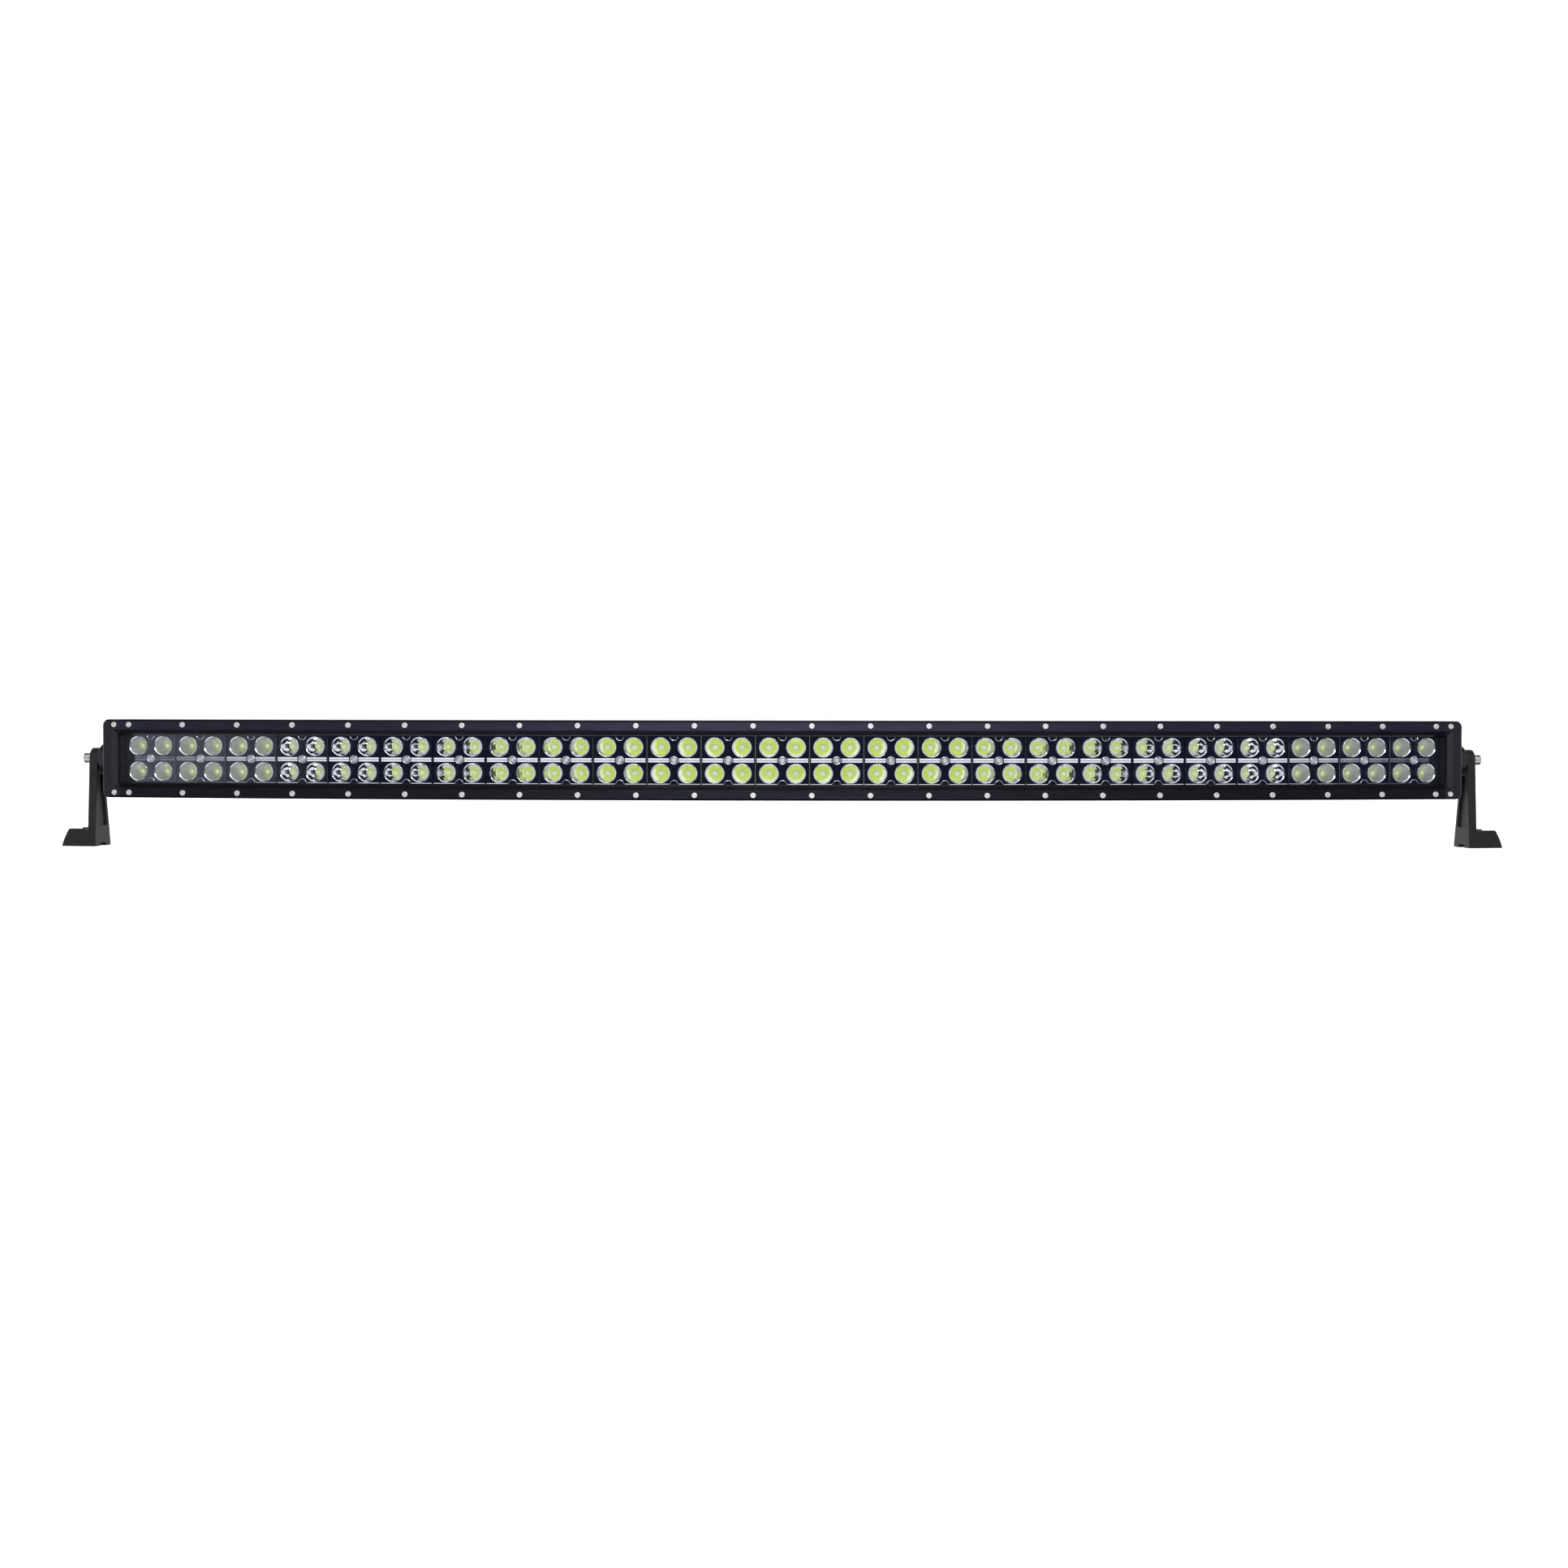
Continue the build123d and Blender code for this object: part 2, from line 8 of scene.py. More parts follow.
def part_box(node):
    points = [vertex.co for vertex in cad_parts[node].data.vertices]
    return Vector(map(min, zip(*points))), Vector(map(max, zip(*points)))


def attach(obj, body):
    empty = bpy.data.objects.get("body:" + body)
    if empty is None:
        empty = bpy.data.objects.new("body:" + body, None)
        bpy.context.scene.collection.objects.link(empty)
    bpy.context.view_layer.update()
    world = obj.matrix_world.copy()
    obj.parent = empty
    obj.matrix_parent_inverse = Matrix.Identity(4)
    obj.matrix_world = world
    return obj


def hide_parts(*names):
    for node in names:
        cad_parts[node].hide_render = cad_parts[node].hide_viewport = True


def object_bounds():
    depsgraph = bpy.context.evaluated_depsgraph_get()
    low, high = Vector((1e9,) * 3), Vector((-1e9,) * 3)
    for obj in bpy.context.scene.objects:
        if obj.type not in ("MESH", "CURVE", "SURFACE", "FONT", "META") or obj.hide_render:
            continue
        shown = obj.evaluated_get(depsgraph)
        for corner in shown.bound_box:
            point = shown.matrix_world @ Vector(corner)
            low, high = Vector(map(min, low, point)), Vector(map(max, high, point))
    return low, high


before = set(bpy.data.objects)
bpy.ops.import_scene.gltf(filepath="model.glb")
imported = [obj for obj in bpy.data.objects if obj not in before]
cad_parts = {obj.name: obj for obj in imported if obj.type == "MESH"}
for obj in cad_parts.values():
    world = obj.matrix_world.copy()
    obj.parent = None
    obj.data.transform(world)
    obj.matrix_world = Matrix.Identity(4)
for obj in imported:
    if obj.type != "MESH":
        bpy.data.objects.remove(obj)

cad_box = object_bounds()
MM = 0.001

# The bar is swept about a vertical line this far behind its front.
SWEEP = 3.010
CUP_PITCH = 25.4 * MM
CUP_COLUMN = CUP_PITCH / 2
CUP_ROW = 12.3 * MM
MODULES = 25
FLOOD = 3                  # flood modules at each end
MODULE_ARC = 2 * CUP_PITCH / (SWEEP - 11 * MM)
front_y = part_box("top_bezel_rail")[0][1]
housing_low, housing_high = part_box("housing")
centre_z = (housing_low[2] + housing_high[2]) / 2
board_front = 22.4 * MM
plate_front = 10.9 * MM
plate_half_x = 25.1 * MM
plate_half_z = 23.0 * MM

# Slots of a module's mesh, in the order of its materials.
PLATE, RIM, CUP, FLUTED, BAFFLE = range(5)
FLUTES = 40
FLUTE_DEPTH = 0.055        # as a part of the cup's radius


def at_arc(arc):
    """Turns mid-bar coordinates (along, depth, height) into the row frame at an angle along the bar."""
    pivot = Vector((0, front_y + SWEEP, centre_z))
    return Matrix.Translation(pivot) @ Matrix.Rotation(arc, 4, "Z") @ Matrix.Translation((0, -SWEEP, 0))


# ------------------------------------------------------------------ materials
EVEN = (1, 1, 1)
DRAWN = (0.02, 1, 1)       # grain drawn out along the bar
MOTTLE_PER_GRAIN = 0.08    # the mottling is this much coarser than the grain
ROUGHNESS_SPREAD = 0.15


def new_material(name):
    """A material with its node tree's parts: material, nodes, links, shader."""
    material = bpy.data.materials.new(name)
    material.use_nodes = True
    nodes = material.node_tree.nodes
    return material, nodes, material.node_tree.links, nodes["Principled BSDF"]


def object_texture(nodes, links, kind, scale, stretch=EVEN, **settings):
    """A procedural texture in object space, scale in features per metre."""
    place = nodes.new("ShaderNodeTexCoord")
    mapping = nodes.new("ShaderNodeMapping")
    mapping.inputs["Scale"].default_value = stretch
    texture = nodes.new(kind)
    texture.inputs["Scale"].default_value = scale
    for key, value in settings.items():
        texture.inputs[key].default_value = value
    links.new(place.outputs["Object"], mapping.inputs["Vector"])
    links.new(mapping.outputs["Vector"], texture.inputs["Vector"])
    return texture


def ramp_between(nodes, links, source, low, high):
    """Two colours, blended over the middle of a noise's range."""
    ramp = nodes.new("ShaderNodeValToRGB")
    ramp.color_ramp.elements[0].position = 0.35
    ramp.color_ramp.elements[1].position = 0.65
    ramp.color_ramp.elements[0].color = (*low, 1)
    ramp.color_ramp.elements[1].color = (*high, 1)
    links.new(source, ramp.inputs["Fac"])
    return ramp


def surface(name, low, high, metallic, rough, grain, bump, stretch=EVEN, edge=0.0, specular=0.5):
    """A finish of two close mottled tones, with its grain in roughness and relief.

    grain is in features per metre; bump, the relief's height, and edge, the radius that corners
    look rounded to, are in metres.
    """
    material, nodes, links, shader = new_material(name)
    shader.inputs["Metallic"].default_value = metallic
    shader.inputs["Specular IOR Level"].default_value = specular
    mottle = object_texture(
        nodes, links, "ShaderNodeTexNoise", grain * MOTTLE_PER_GRAIN, stretch, Detail=4.0, Roughness=0.6)
    tone = ramp_between(nodes, links, mottle.outputs["Fac"], low, high)
    links.new(tone.outputs["Color"], shader.inputs["Base Color"])
    fine = object_texture(nodes, links, "ShaderNodeTexNoise", grain, stretch, Detail=3.0, Roughness=0.55)
    spread = nodes.new("ShaderNodeMapRange")
    spread.inputs["To Min"].default_value = rough * (1 - ROUGHNESS_SPREAD)
    spread.inputs["To Max"].default_value = min(1.0, rough * (1 + ROUGHNESS_SPREAD))
    links.new(fine.outputs["Fac"], spread.inputs["Value"])
    links.new(spread.outputs["Result"], shader.inputs["Roughness"])
    relief = nodes.new("ShaderNodeBump")
    relief.inputs["Strength"].default_value = 0.6
    relief.inputs["Distance"].default_value = bump
    links.new(fine.outputs["Fac"], relief.inputs["Height"])
    if edge:
        rounding = nodes.new("ShaderNodeBevel")
        rounding.samples = 4
        rounding.inputs["Radius"].default_value = edge
        links.new(rounding.outputs["Normal"], relief.inputs["Normal"])
    links.new(relief.outputs["Normal"], shader.inputs["Normal"])
    return material


anodised = surface(
    "black_anodised_extrusion", (0.010, 0.010, 0.014), (0.016, 0.016, 0.022), 0.2, 0.36, 3500, 4e-5,
    DRAWN, edge=4e-4, specular=0.35)
# Painted light and shade: both rails are copies of one black anodising, the top one made lighter and bluer
# and the bottom one darker, for how light falls on each.
rail_black = surface(
    "black_anodised_top_rail_painted_light", (0.048, 0.048, 0.074), (0.060, 0.060, 0.092), 1.0, 0.42, 3500, 4e-5,
    DRAWN, edge=5e-4)
shaded_lower_rail_black = surface(
    "black_anodised_lower_rail_painted_shade", (0.026, 0.027, 0.036), (0.034, 0.035, 0.046), 1.0, 0.42, 3500, 4e-5,
    DRAWN, edge=5e-4)
cap_black = surface(
    "powder_coated_cap", (0.010, 0.012, 0.018), (0.016, 0.019, 0.028), 0.0, 0.4, 2600, 6e-5,
    edge=7e-4, specular=0.4)
bracket_black = surface(
    "powder_coated_bracket", (0.012, 0.0112, 0.011), (0.019, 0.0176, 0.017), 0.0, 0.5, 2200, 9e-5,
    edge=7e-4, specular=0.40)
stainless = surface(
    "stainless_fastener", (0.88, 0.88, 0.89), (0.97, 0.97, 0.97), 1.0, 0.52, 6000, 2e-5, edge=2e-4)
bolt_steel = surface(
    "stainless_bolt", (0.84, 0.82, 0.80), (0.95, 0.93, 0.91), 1.0, 0.38, 5000, 2e-5, edge=3e-4)
mirror_plate = surface("metallised_plate", (0.62, 0.64, 0.70), (0.68, 0.70, 0.76), 1.0, 0.06, 500, 1e-5)
mirror_rim = surface("metallised_rim", (0.86, 0.87, 0.90), (0.92, 0.93, 0.95), 1.0, 0.16, 900, 1e-5)
mirror_cup = surface("metallised_cup", (0.90, 0.91, 0.92), (0.94, 0.95, 0.96), 1.0, 0.05, 900, 6e-6)
satin_cup = surface("satin_fluted_cup", (0.76, 0.76, 0.74), (0.84, 0.84, 0.82), 1.0, 0.34, 4000, 2e-5)
board_white = surface("white_board_mask", (0.80, 0.81, 0.78), (0.86, 0.87, 0.84), 0.0, 0.4, 2500, 2e-5)
package_white = surface("lamp_package", (0.82, 0.82, 0.76), (0.90, 0.90, 0.84), 0.0, 0.3, 5000, 1e-5)
# Painted glow: the white boards and lamp packages emit a faint lime light that stands in for light falling
# on them.
for material in (board_white, package_white):
    painted_glow_in = material.node_tree.nodes["Principled BSDF"].inputs
    painted_glow_in["Emission Color"].default_value = (0.80, 0.90, 0.60, 1)
    painted_glow_in["Emission Strength"].default_value = 0.14
silicone = surface("black_silicone", (0.010, 0.010, 0.010), (0.018, 0.018, 0.018), 0.0, 0.75, 1800, 8e-5)
board_green = surface(
    "green_circuit_board", (0.01, 0.09, 0.03), (0.02, 0.14, 0.05), 0.0, 0.35, 1500, 3e-5)
driver_parts = surface(
    "moulded_components", (0.015, 0.015, 0.016), (0.03, 0.03, 0.032), 0.0, 0.5, 2000, 5e-5)
nylon = surface(
    "black_nylon", (0.014, 0.014, 0.014), (0.024, 0.024, 0.024), 0.0, 0.55, 2400, 7e-5, edge=5e-4)
baffle_black = surface(
    "black_baffle_moulding", (0.008, 0.010, 0.016), (0.013, 0.015, 0.022), 0.0, 0.55, 1500, 4e-5,
    edge=4e-4, specular=0.25)


def phosphor_material():
    """Lime phosphor under a clear bead, with a painted highlight: the bead's front-facing crown is painted
    pale, and the bead has a painted lime glow in place of light falling on it from the front.
    """
    material, nodes, links, shader = new_material("lamp_phosphor")
    speck = object_texture(nodes, links, "ShaderNodeTexNoise", 9000, Detail=2.0)
    lime = ramp_between(nodes, links, speck.outputs["Fac"], (0.44, 0.58, 0.08), (0.54, 0.68, 0.13))
    place = nodes.new("ShaderNodeTexCoord")
    facing = nodes.new("ShaderNodeSeparateXYZ")
    links.new(place.outputs["Normal"], facing.inputs["Vector"])
    # Painted highlight: where the object-space normal faces the front, the lime is blended to a pale tone.
    crown = nodes.new("ShaderNodeMapRange")
    crown.interpolation_type = "SMOOTHSTEP"
    crown.inputs["From Min"].default_value = -0.80
    crown.inputs["From Max"].default_value = -0.97
    links.new(facing.outputs["Y"], crown.inputs["Value"])
    blend = nodes.new("ShaderNodeMix")
    blend.data_type = "RGBA"
    blend.inputs["B"].default_value = (0.74, 0.78, 0.58, 1)
    links.new(crown.outputs["Result"], blend.inputs["Factor"])
    links.new(lime.outputs["Color"], blend.inputs["A"])
    links.new(blend.outputs["Result"], shader.inputs["Base Color"])
    links.new(blend.outputs["Result"], shader.inputs["Emission Color"])
    # Painted glow: the phosphor's colour is also emitted, standing in for light on the bead from the front.
    shader.inputs["Emission Strength"].default_value = 0.70
    shader.inputs["Roughness"].default_value = 0.3
    shader.inputs["Coat Weight"].default_value = 0.5
    return material


def lens_material():
    """Clear hard-coated polycarbonate: see-through, with a sharp faint reflection and a bluish cut edge."""
    material, nodes, links, shader = new_material("clear_polycarbonate")
    nodes.remove(shader)
    clear = nodes.new("ShaderNodeBsdfTransparent")
    clear.inputs["Color"].default_value = (0.965, 0.972, 0.985, 1)
    gloss = nodes.new("ShaderNodeBsdfGlossy")
    haze = object_texture(nodes, links, "ShaderNodeTexNoise", 60, Detail=3.0)
    spread = nodes.new("ShaderNodeMapRange")
    spread.inputs["To Min"].default_value = 0.02
    spread.inputs["To Max"].default_value = 0.05
    links.new(haze.outputs["Fac"], spread.inputs["Value"])
    links.new(spread.outputs["Result"], gloss.inputs["Roughness"])
    edge_on = nodes.new("ShaderNodeLayerWeight")
    edge_on.inputs["Blend"].default_value = 0.5
    steep = nodes.new("ShaderNodeMath")
    steep.operation = "POWER"
    steep.inputs[1].default_value = 5.0
    links.new(edge_on.outputs["Facing"], steep.inputs[0])
    gain = nodes.new("ShaderNodeMapRange")
    gain.inputs["To Min"].default_value = 0.04
    gain.inputs["To Max"].default_value = 0.9
    links.new(steep.outputs["Value"], gain.inputs["Value"])
    mix = nodes.new("ShaderNodeMixShader")
    links.new(gain.outputs["Result"], mix.inputs["Fac"])
    links.new(clear.outputs["BSDF"], mix.inputs[1])
    links.new(gloss.outputs["BSDF"], mix.inputs[2])
    links.new(mix.outputs["Shader"], nodes["Material Output"].inputs["Surface"])
    return material


phosphor = phosphor_material()
clear_lens = lens_material()

finishes = {
    "housing": anodised,
    "top_bezel_rail": rail_black,
    "bottom_bezel_rail": shaded_lower_rail_black,
    "top_bezel_screws": stainless,
    "bottom_bezel_screws": stainless,
    "end_cap_corner_screws": stainless,
    "reflector_screws": stainless,
    "lens": clear_lens,
    "lens_gasket": silicone,
    "led_boards": board_white,
    "led_packages": package_white,
    "led_domes": phosphor,
    "driver_board": board_green,
    "driver_components": driver_parts,
    "cable_gland_body": nylon,
    "cable_gland_nut": nylon,
    "breather_vent": nylon,
}
for side in ("left_", "right_"):
    finishes[side + "end_baffle"] = baffle_black
    finishes[side + "end_cap_seal"] = silicone
    finishes[side + "end_cap"] = cap_black
    finishes[side + "end_cap_side_screws"] = stainless
    finishes[side + "pivot_friction_washer"] = nylon
    finishes[side + "pivot_flat_washer"] = bolt_steel
    finishes[side + "pivot_spring_washer"] = bolt_steel
    finishes[side + "pivot_bolt"] = bolt_steel
    finishes[side + "bracket"] = bracket_black
for node, material in finishes.items():
    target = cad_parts[node]
    for material_slot in target.material_slots:
        material_slot.material = material


# ------------------------------------------------------------------ reflector modules
def circle(bm, x, depth, z, radius, count, wobble=None):
    """A ring of vertices facing the front, in mid-bar coordinates."""
    ring = []
    for i in range(count):
        angle = 2 * math.pi * i / count
        size = radius + (wobble(angle) if wobble else 0.0)
        ring.append(bm.verts.new((x + size * math.cos(angle), depth, z + size * math.sin(angle))))
    return ring


def bridge(bm, ring_a, ring_b, slot_index, smooth=True):
    """A band of faces between two rings of the same length."""
    count = len(ring_a)
    for i in range(count):
        j = (i + 1) % count
        face = bm.faces.new((ring_a[i], ring_a[j], ring_b[j], ring_b[i]))
        face.material_index = slot_index
        face.smooth = smooth


def loop_edges(bm, ring):
    """The ring's closed run of edges, made where they are missing."""
    edges = []
    for i, vert in enumerate(ring):
        other = ring[(i + 1) % len(ring)]
        edges.append(bm.edges.get((vert, other)) or bm.edges.new((vert, other)))
    return edges


def fill(bm, rings, slot_index):
    """Flat face inside the first ring and outside the others."""
    edges = []
    for ring in rings:
        edges += loop_edges(bm, ring)
    made = bmesh.ops.triangle_fill(bm, use_beauty=True, use_dissolve=False, edges=edges)
    for item in made["geom"]:
        if isinstance(item, bmesh.types.BMFace):
            item.material_index = slot_index
            item.smooth = False


def arc_points(x, z, radius, start, stop, steps):
    """Points on a circle in the module's front view, angles in degrees."""
    angles = [math.radians(start + (stop - start) * i / steps) for i in range(steps + 1)]
    return [(x + radius * math.cos(angle), z + radius * math.sin(angle)) for angle in angles]


def scallops(half_z, inset):
    """Edge that follows the two outer cups, from the top down."""
    edge = 17.0 * MM
    shoulder = 9.8 * MM - inset * 0.5
    swing = math.degrees(math.acos((edge - CUP_COLUMN) / shoulder))
    points = [(-edge, half_z)]
    points += arc_points(-CUP_COLUMN, CUP_ROW, shoulder, 180 - swing, 180 + swing, 16)
    points += arc_points(-CUP_COLUMN, -CUP_ROW, shoulder, 180 - swing, 180 + swing, 16)
    return points + [(-edge, -half_z)]


def outline(bm, depth, inset=0.0, scalloped=False):
    """Module's outline. At a bar end its left edge is cut back to follow the two outer cups."""
    half_x = plate_half_x - inset * 0.25
    half_z = plate_half_z - inset
    points = [(half_x, -half_z), (half_x, half_z)]
    if scalloped:
        points += scallops(half_z, inset)
    else:
        points += [(-half_x, half_z), (-half_x, -half_z)]
    return [bm.verts.new((x, depth, z)) for x, z in points]


def cup_profile(flood):
    """(radius, depth) of the bright rim and of the wall below it, down to the throat."""
    rim = [
        (9.25, 10.9), (9.2, 10.66), (9.1, 10.54), (9.02, 10.56),
        (8.94, 10.6), (8.32, 10.91), (8.2, 10.98),
    ]
    mouth_radius, mouth_depth = 8.1, 11.15
    wall = []
    if flood:
        throat_radius, throat_depth = 2.5, 21.9
        steps = 12
        for i in range(steps + 1):
            step = i / steps
            radius = mouth_radius - (mouth_radius - throat_radius) * step ** 1.15
            wall.append((radius, mouth_depth + (throat_depth - mouth_depth) * step))
        return rim, wall
    # A spot cup is a paraboloid whose focus is in the lamp.
    focus_depth, throat_depth = 21.3, 21.35
    reach = focus_depth - mouth_depth
    focal = (math.hypot(mouth_radius, reach) - reach) / 2
    vertex_depth = focus_depth + focal
    steps = 18
    for i in range(steps + 1):
        depth = mouth_depth + (throat_depth - mouth_depth) * i / steps
        wall.append((math.sqrt(4 * focal * (vertex_depth - depth)), depth))
    return rim, wall


def add_cup(bm, x, z, flood):
    """One lamp's hollow; gives back its front and back edges."""
    segments = 160 if flood else 96
    rim, wall = cup_profile(flood)
    rim_rings = [circle(bm, x, d * MM, z, r * MM, segments) for r, d in rim]
    wall_rings = []
    for index, (r, d) in enumerate(wall):
        rise = min(1.0, index / 2, (len(wall) - 1 - index) / 2) if flood else 0.0

        def flute(angle, size=FLUTE_DEPTH * r * rise * MM):
            return abs(math.sin(angle * FLUTES / 2)) * size

        wall_rings.append(circle(bm, x, d * MM, z, r * MM, segments, wobble=flute))
    for upper, lower in zip(rim_rings, rim_rings[1:] + wall_rings[:1]):
        bridge(bm, lower, upper, RIM)
    for upper, lower in zip(wall_rings, wall_rings[1:]):
        bridge(bm, lower, upper, FLUTED if flood else CUP)
    bottom = circle(bm, x, board_front, z, wall[-1][0] * MM, segments)
    bridge(bm, bottom, wall_rings[-1], CUP)
    return rim_rings[0], bottom


def add_boss(bm, segments=40):
    """Ring boss round the fixing screw, with the screw's seat and bore."""
    profile = [
        (4.1, 10.9), (3.95, 10.5), (3.7, 10.22), (3.4, 10.1),
        (3.1, 10.2), (2.85, 10.5), (2.7, 10.9), (2.6, 11.9),
    ]
    rings = [circle(bm, 0, d * MM, 0, r * MM, segments) for r, d in profile]
    for upper, lower in zip(rings, rings[1:]):
        bridge(bm, lower, upper, RIM)
    bore_radius = 1.35 * MM
    seat = circle(bm, 0, profile[-1][1] * MM, 0, bore_radius, segments)
    bridge(bm, seat, rings[-1], PLATE, smooth=False)
    bore = circle(bm, 0, board_front, 0, bore_radius, segments)
    bridge(bm, bore, seat, PLATE)
    return rings[0], bore


def add_ridge(bm, inner, outer):
    """Low roof-shaped rib between the rows, from the boss to the module's side edge."""
    sign = 1 if outer > inner else -1
    foot, peak, drop = 1.9 * MM, 0.22 * MM, 0.85 * MM
    slope = 0.25 * MM * sign

    def rectangle(start, stop, half, depth):
        corners = ((start, -half), (stop, -half), (stop, half), (start, half))
        return [bm.verts.new((x, depth, z)) for x, z in corners]

    rim = rectangle(inner, outer, foot, plate_front)
    crest = rectangle(inner + slope, outer - slope, peak, plate_front - drop)
    bridge(bm, rim, crest, RIM, smooth=False)
    crown = bm.faces.new(crest)
    crown.material_index = PLATE
    return rim


def add_tab(bm, sign, segments=20):
    """Half-round raised lip at the middle of a long edge."""
    edge = sign * (plate_half_z - 0.6 * MM)
    profile = [(4.2, 11.0), (3.85, 10.5), (3.7, 10.42), (3.5, 10.5), (2.9, 10.85), (2.9, 11.0)]
    angles = [math.pi * i / segments for i in range(segments + 1)]
    rows = []
    for angle in angles:
        along, inward = math.cos(angle), -sign * math.sin(angle)
        rows.append([bm.verts.new((r * MM * along, d * MM, edge + r * MM * inward)) for r, d in profile])
    for row, following in zip(rows, rows[1:]):
        bridge(bm, row, following, RIM)
    for row in (rows[0], rows[-1]):
        bm.faces.new(row).material_index = RIM


def add_ledge(bm, start, stop):
    """Low raised ledge just above the module's bottom edge, between two places along it in mm."""
    profile = [(-21.9, 10.95), (-22.5, 10.62), (-22.7, 10.95)]
    rows = [[bm.verts.new((x * MM, d * MM, z * MM)) for z, d in profile] for x in (start, stop)]
    bridge(bm, rows[0], rows[1], RIM, smooth=False)
    for row in rows:
        bm.faces.new(row).material_index = RIM


def module_mesh(name, flood, scalloped=False, mirrored=False):
    """One reflector module: four cups, ring boss, ribs, lips and ledge in one skin down to the board."""
    bm = bmesh.new()
    front = outline(bm, plate_front, 0.5 * MM, scalloped)
    shoulder = outline(bm, plate_front + 0.25 * MM, 0.0, scalloped)
    back = outline(bm, board_front, 0.0, scalloped)
    bridge(bm, shoulder, front, RIM, smooth=False)
    bridge(bm, back, shoulder, PLATE, smooth=False)
    fronts = [front]
    backs = [back]
    for x in (-CUP_COLUMN, CUP_COLUMN):
        for z in (-CUP_ROW, CUP_ROW):
            top, bottom = add_cup(bm, x, z, flood)
            fronts.append(top)
            backs.append(bottom)
    top, bottom = add_boss(bm)
    fronts.append(top)
    backs.append(bottom)
    ridge_inner, ridge_outer = 4.7 * MM, 24.2 * MM
    left_outer = -(15.6 * MM if scalloped else ridge_outer)
    for outer in (left_outer, ridge_outer):
        fronts.append(add_ridge(bm, math.copysign(ridge_inner, outer), outer))
    for sign in (-1, 1):
        add_tab(bm, sign)
    add_ledge(bm, -16.5 if scalloped else -24.4, -4.6)
    add_ledge(bm, 4.6, 24.4)
    if scalloped:
        path = [(-plate_half_x, plate_half_z)]
        path += scallops(plate_half_z, 0.0)
        path += [(-plate_half_x, -plate_half_z)]
        fill(bm, [[bm.verts.new((x, plate_front + 0.4 * MM, z)) for x, z in path]], BAFFLE)
    fill(bm, fronts, PLATE)
    fill(bm, backs, PLATE)
    if mirrored:
        for vert in bm.verts:
            vert.co.x = -vert.co.x
    bmesh.ops.recalc_face_normals(bm, faces=bm.faces)
    mesh = bpy.data.meshes.new(name)
    bm.to_mesh(mesh)
    bm.free()
    for material in (mirror_plate, mirror_rim, mirror_cup, satin_cup, baffle_black):
        mesh.materials.append(material)
    return mesh


spot_mesh = module_mesh("spot_module_mesh", False)
flood_mesh = module_mesh("flood_module_mesh", True)
left_end_mesh = module_mesh("left_end_module_mesh", True, scalloped=True)
right_end_mesh = module_mesh("right_end_module_mesh", True, scalloped=True, mirrored=True)
for index in range(MODULES):
    arc = MODULE_ARC * (index - (MODULES - 1) / 2)
    if index < FLOOD:
        node = f"left_flood_reflector_{index + 1}"
    elif index >= MODULES - FLOOD:
        node = f"right_flood_reflector_{index - MODULES + FLOOD + 1}"
    else:
        node = f"spot_reflector_{index - FLOOD + 1:02d}"
    flood = "flood" in node
    mesh = flood_mesh if flood else spot_mesh
    if index == 0:
        mesh = left_end_mesh
    elif index == MODULES - 1:
        mesh = right_end_mesh
    piece = bpy.data.objects.new(node + "_moulding", mesh)
    bpy.context.scene.collection.objects.link(piece)
    piece.matrix_world = at_arc(arc)
    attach(piece, "light_bar")
    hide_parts(node)


# ------------------------------------------------------------------ floor, light, camera
def floor_material():
    """Matt white paper, lit a little from within so that it meets the white background unseen."""
    material, nodes, links, shader = new_material("pale_floor")
    cloud = object_texture(nodes, links, "ShaderNodeTexNoise", 1.5, Detail=2.0)
    tone = ramp_between(nodes, links, cloud.outputs["Fac"], (0.90, 0.90, 0.90), (0.92, 0.92, 0.92))
    links.new(tone.outputs["Color"], shader.inputs["Base Color"])
    shader.inputs["Roughness"].default_value = 0.9
    shader.inputs["Specular IOR Level"].default_value = 0.0
    shader.inputs["Emission Color"].default_value = (1, 1, 1, 1)
    shader.inputs["Emission Strength"].default_value = 0.75
    return material


FLOOR_RADIUS = 14.0
FLOOR_GAP = 0.0002         # the floor lies just under the feet
floor_mesh = bpy.data.meshes.new("floor")
bm = bmesh.new()
bmesh.ops.create_circle(bm, cap_ends=True, segments=96, radius=FLOOR_RADIUS)
bm.to_mesh(floor_mesh)
bm.free()
floor_mesh.materials.append(floor_material())
floor = bpy.data.objects.new("floor", floor_mesh)
bpy.context.scene.collection.objects.link(floor)
floor.location = (0, 0, cad_box[0][2] - FLOOR_GAP)
# The bar neither mirrors the floor nor is lit by it; the world below has the studio's own paper.
floor.visible_glossy = False
floor.visible_diffuse = False


def softbox(name, location, target, width, height, power):
    """A rectangular area light aimed at a point."""
    light = bpy.data.lights.new(name, "AREA")
    light.shape = "RECTANGLE"
    light.size = width
    light.size_y = height
    light.energy = power
    lamp = bpy.data.objects.new(name, light)
    lamp.location = location
    lamp.rotation_euler = (Vector(target) - Vector(location)).to_track_quat("-Z", "Y").to_euler()
    bpy.context.scene.collection.objects.link(lamp)


middle = (0, 0, centre_z)
softbox("softbox_front_high", (0, -2.6, 1.05), middle, 1.3, 0.35, 30)
softbox("softbox_back", (0, 2.2, 1.5), middle, 3.0, 1.0, 34)


def smooth_band(nodes, links, value, low, high):
    """0 at low, 1 at high and beyond, smooth between; low may be the larger."""
    band = nodes.new("ShaderNodeMapRange")
    band.interpolation_type = "SMOOTHSTEP"
    band.inputs["From Min"].default_value = low
    band.inputs["From Max"].default_value = high
    links.new(value, band.inputs["Value"])
    return band.outputs["Result"]


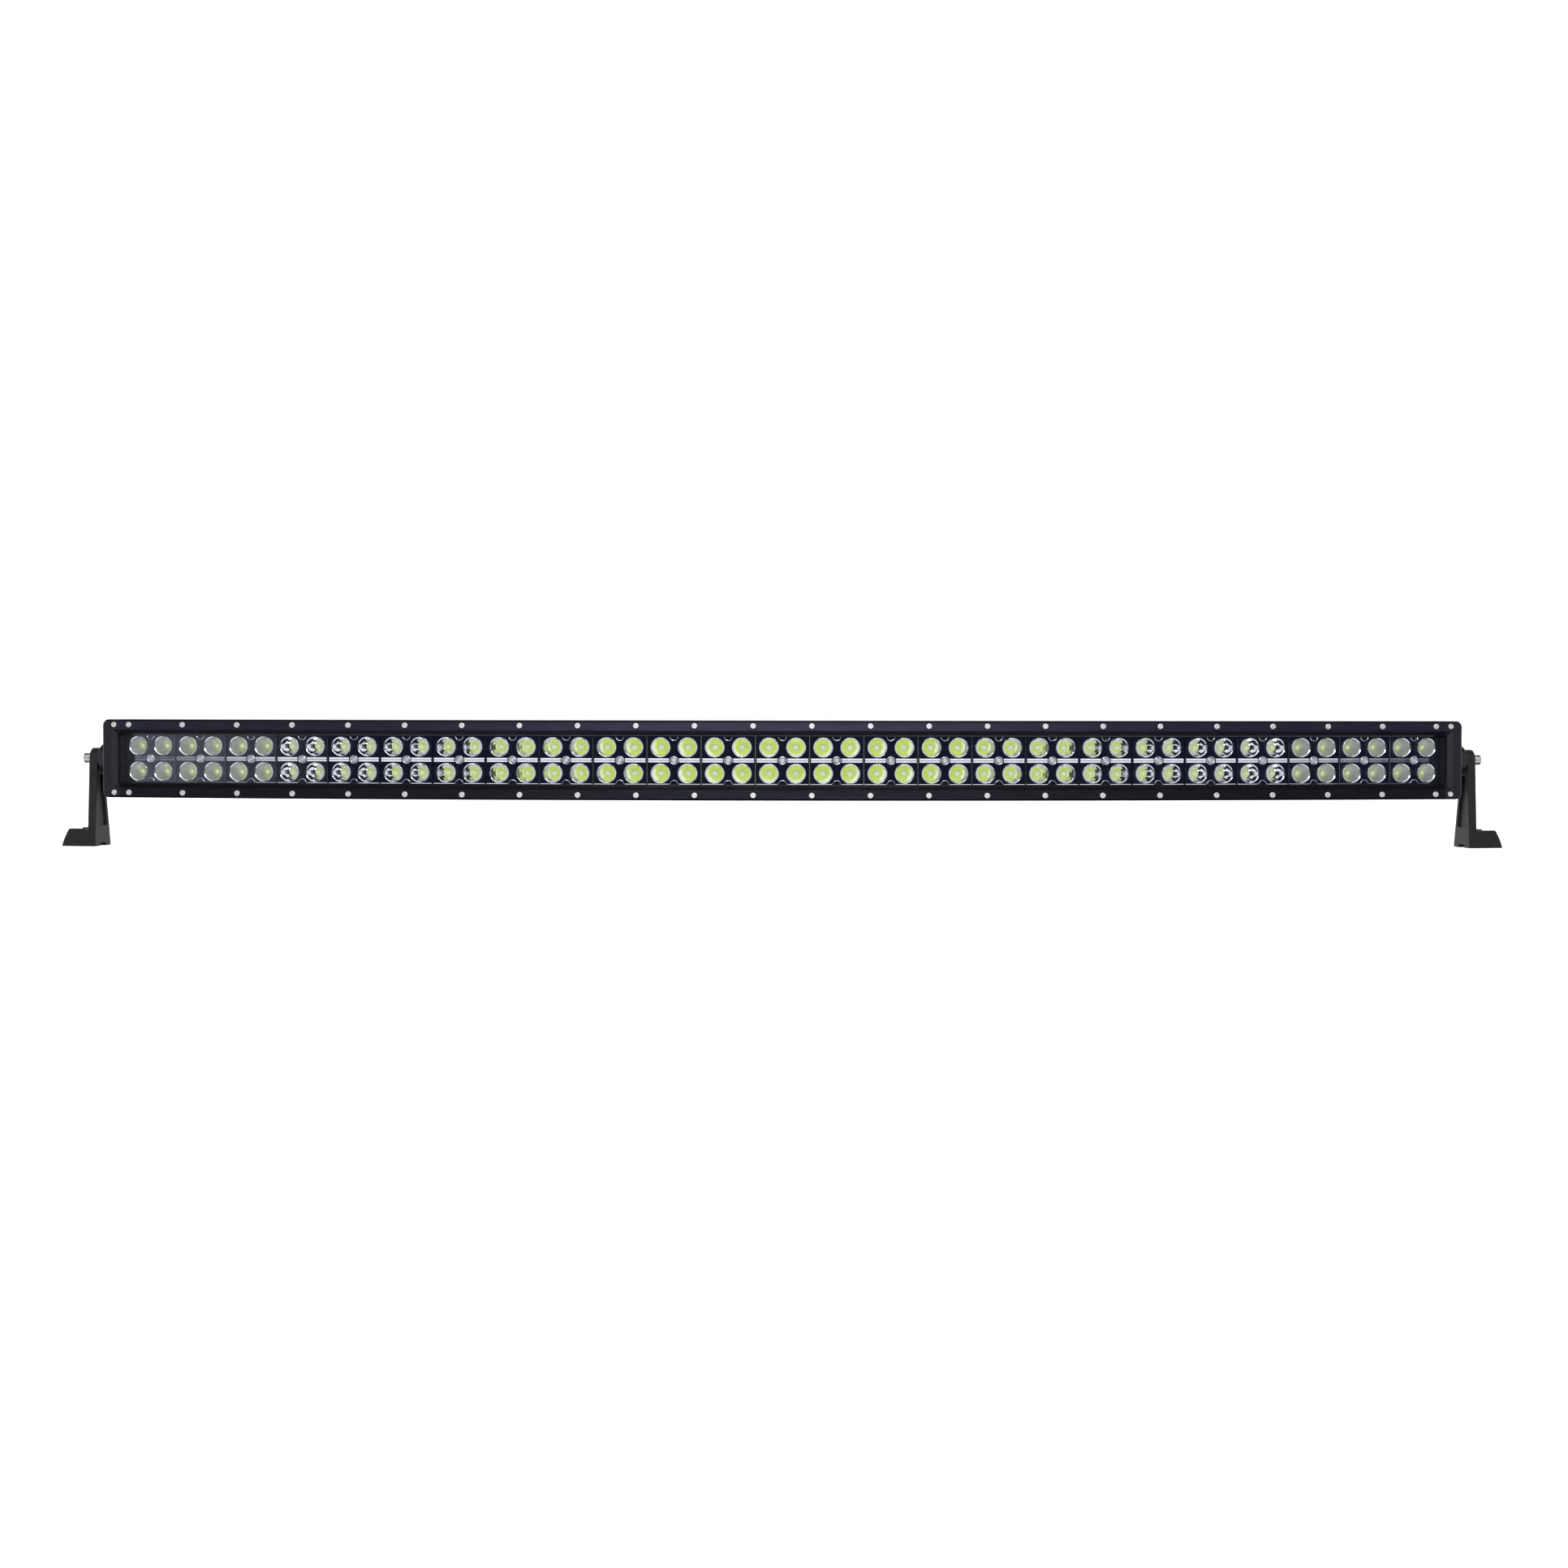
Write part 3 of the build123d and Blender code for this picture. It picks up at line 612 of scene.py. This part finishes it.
def combine(nodes, links, operation, first, second):
    """A maths node on two values, each a number or an output."""
    node = nodes.new("ShaderNodeMath")
    node.operation = operation
    for socket, value in zip(node.inputs, (first, second)):
        if isinstance(value, float):
            socket.default_value = value
        else:
            links.new(value, socket)
    return node.outputs["Value"]


# The studio's light by direction: dark ahead, a bright panel ahead and high up, white paper below,
# pale walls at the sides and a faint card ahead to the left. Heights are sines of the angle above
# the horizon, azimuths are in radians from straight ahead.
PANEL_LIGHT, PAPER_LIGHT, WALL_LIGHT, CARD_LIGHT = 1.15, 1.1, 0.9, 0.10
DIM_BLUE = (0.012, 0.014, 0.028, 1)
world = bpy.data.worlds.new("studio")
bpy.context.scene.world = world
world.use_nodes = True
nodes = world.node_tree.nodes
links = world.node_tree.links
direction = nodes.new("ShaderNodeTexCoord")
axes = nodes.new("ShaderNodeSeparateXYZ")
links.new(direction.outputs["Generated"], axes.inputs["Vector"])
toward_front = combine(nodes, links, "MULTIPLY", axes.outputs["Y"], -1.0)
azimuth = combine(nodes, links, "ARCTAN2", axes.outputs["X"], toward_front)
sideways = combine(nodes, links, "ABSOLUTE", azimuth, 0.0)
height = axes.outputs["Z"]
narrow = smooth_band(nodes, links, sideways, 0.79, 0.73)
steepness = combine(nodes, links, "ABSOLUTE", height, 0.0)
sources = [
    (PANEL_LIGHT, [(height, 0.42, 0.52), (height, 0.97, 0.90)], narrow),
    (PAPER_LIGHT, [(height, -0.36, -0.48), (height, -0.96, -0.88)], narrow),
    (WALL_LIGHT, [(sideways, 0.74, 0.86), (steepness, 0.70, 0.52)], None),
    (CARD_LIGHT, [(azimuth, -0.42, -0.66), (height, 0.30, 0.12)], None),
]
strength = None
for light, limits, within in sources:
    patch = combine(nodes, links, "MULTIPLY", *[smooth_band(nodes, links, *limit) for limit in limits])
    if within is not None:
        patch = combine(nodes, links, "MULTIPLY", patch, within)
    patch = combine(nodes, links, "MULTIPLY", patch, light)
    strength = patch if strength is None else combine(nodes, links, "ADD", strength, patch)
glow = nodes.new("ShaderNodeMix")
glow.data_type = "RGBA"
glow.blend_type = "ADD"
glow.inputs["Factor"].default_value = 1.0
glow.inputs["A"].default_value = DIM_BLUE
links.new(strength, glow.inputs["B"])
# The camera itself sees plain white behind the bar.
ambient = nodes["Background"]
links.new(glow.outputs["Result"], ambient.inputs["Color"])
paper = nodes.new("ShaderNodeBackground")
paper.inputs["Color"].default_value = (1, 1, 1, 1)
paths = nodes.new("ShaderNodeLightPath")
chosen = nodes.new("ShaderNodeMixShader")
links.new(paths.outputs["Is Camera Ray"], chosen.inputs["Fac"])
links.new(ambient.outputs["Background"], chosen.inputs[1])
links.new(paper.outputs["Background"], chosen.inputs[2])
links.new(chosen.outputs["Shader"], nodes["World Output"].inputs["Surface"])

CAMERA_DISTANCE = 2.511
CAMERA_RISE = 0.050
CAMERA_LENS = 61.9
YAW, PITCH, ROLL = -0.033, -1.633, 0.085    # degrees
scene = bpy.context.scene
scene.view_settings.view_transform = "Standard"
camera_data = bpy.data.cameras.new("camera")
camera_data.sensor_width = 36.0
camera_data.lens = CAMERA_LENS
camera_data.clip_end = 100.0
camera = bpy.data.objects.new("camera", camera_data)
scene.collection.objects.link(camera)
camera.location = (0, front_y - CAMERA_DISTANCE, centre_z + CAMERA_RISE)
aim = Matrix.Rotation(math.radians(YAW), 4, "Z") @ Matrix.Rotation(math.radians(90 + PITCH), 4, "X")
camera.rotation_euler = (aim @ Matrix.Rotation(math.radians(ROLL), 4, "Z")).to_euler()
scene.camera = camera
